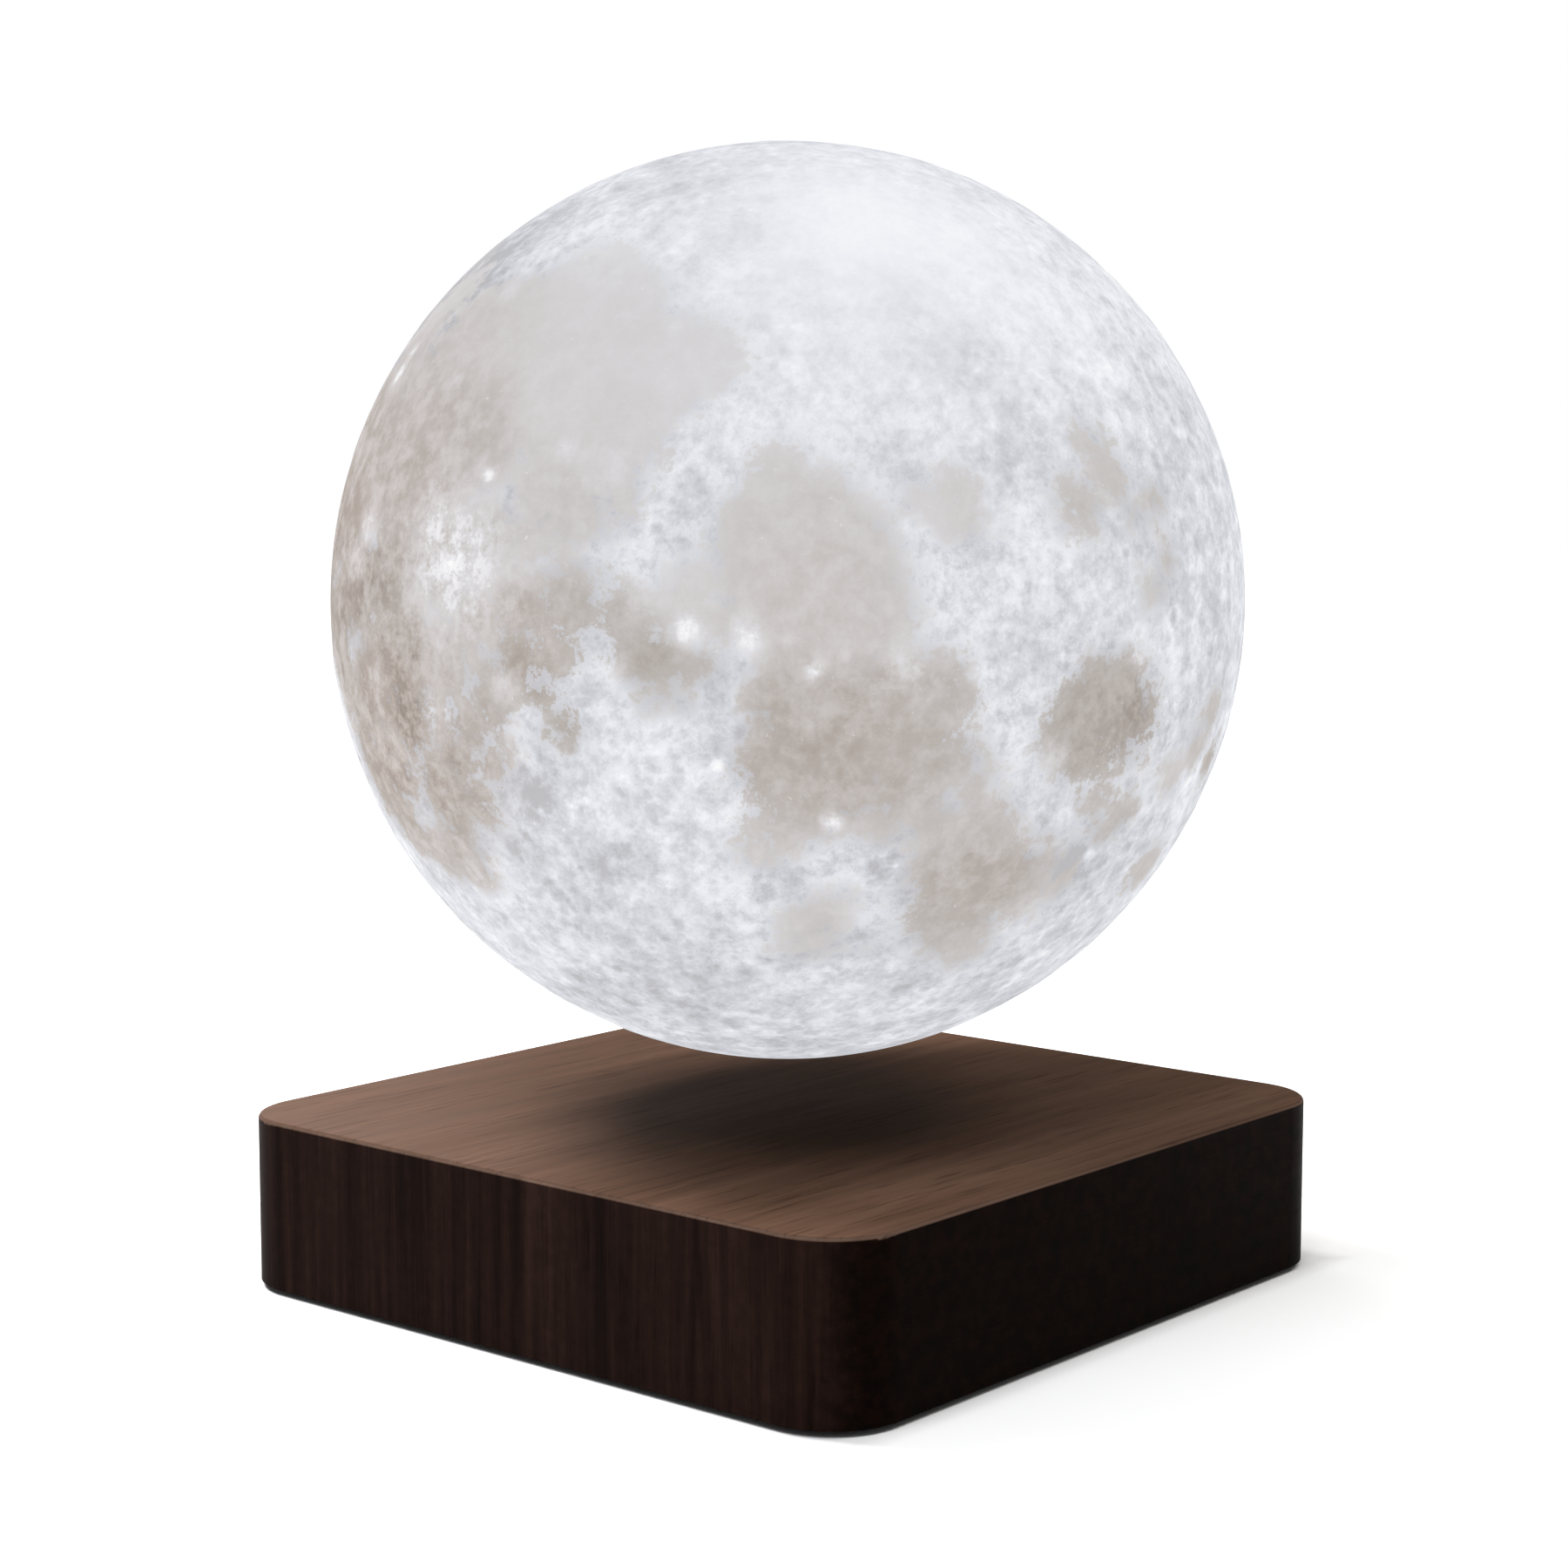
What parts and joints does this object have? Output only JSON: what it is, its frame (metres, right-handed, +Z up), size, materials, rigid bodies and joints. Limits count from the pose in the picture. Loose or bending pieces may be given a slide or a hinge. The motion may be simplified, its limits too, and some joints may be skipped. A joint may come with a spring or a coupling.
{
  "type": "levitating moon lamp",
  "caption": "Printed moon globe lamp that floats by magnetic levitation over a square walnut base with rounded corners.",
  "frame": {"origin": "on the table under the middle of the base", "axes": "+Z up, front towards -Y, supply socket at the back towards +Y"},
  "size_m": [0.15, 0.15, 0.188],
  "materials": {
    "walnut": "satin",
    "black_plastic": "matte",
    "foot_rubber": "matte",
    "screw_steel": "satin",
    "circuit_board": "satin",
    "light_circuit_board": "satin",
    "chip_resin": "matte",
    "can_aluminium": "satin",
    "plated_pin": "gloss",
    "copper": "gloss",
    "ferrite": "matte",
    "white_nylon": "satin",
    "soft_iron": "satin",
    "nickel_magnet": "polished",
    "lamp_lens": "satin",
    "cup_plastic": "matte",
    "moon_print": "matte"
  },
  "bodies": {
    "base": {"base_housing": "walnut", "bottom_cover": "black_plastic", "rubber_feet": "foot_rubber", "cover_screws": "screw_steel", "control_board": "circuit_board", "board_screws": "screw_steel", "driver_chips": "chip_resin", "capacitors": "can_aluminium", "dc_jack": "black_plastic", "jack_pin": "plated_pin", "touch_pad": "copper", "touch_lead": "copper", "module_frame": "black_plastic", "ring_magnet": "ferrite", "coil_bobbins": "white_nylon", "coil_windings": "copper", "coil_leads": "copper", "coil_cores": "soft_iron", "transmitter_coil": "copper", "transmitter_lead": "copper", "hall_sensors": "chip_resin"},
    "float_magnet": {"levitation_magnet": "nickel_magnet"},
    "moon": {"moon_shell": "moon_print", "magnet_cup": "cup_plastic", "receiver_coil": "copper", "receiver_leads": "copper", "board_carrier": "white_nylon", "led_board": "light_circuit_board", "cup_screws": "screw_steel", "led_chips": "lamp_lens", "rectifier_parts": "chip_resin"}
  },
  "joints": [
    {"name": "moon_lift", "type": "slide", "parent": "base", "child": "float_magnet", "axis": [0, 0, 1], "range_m": [-0.0087, 0.012], "stiffness_N_per_m": 150, "springref_m": 0.0156},
    {"name": "moon_spin", "type": "hinge", "parent": "float_magnet", "child": "moon", "pos_m": [0, 0, 0.113], "axis": [0, 0, 1], "continuous": true}
  ]
}
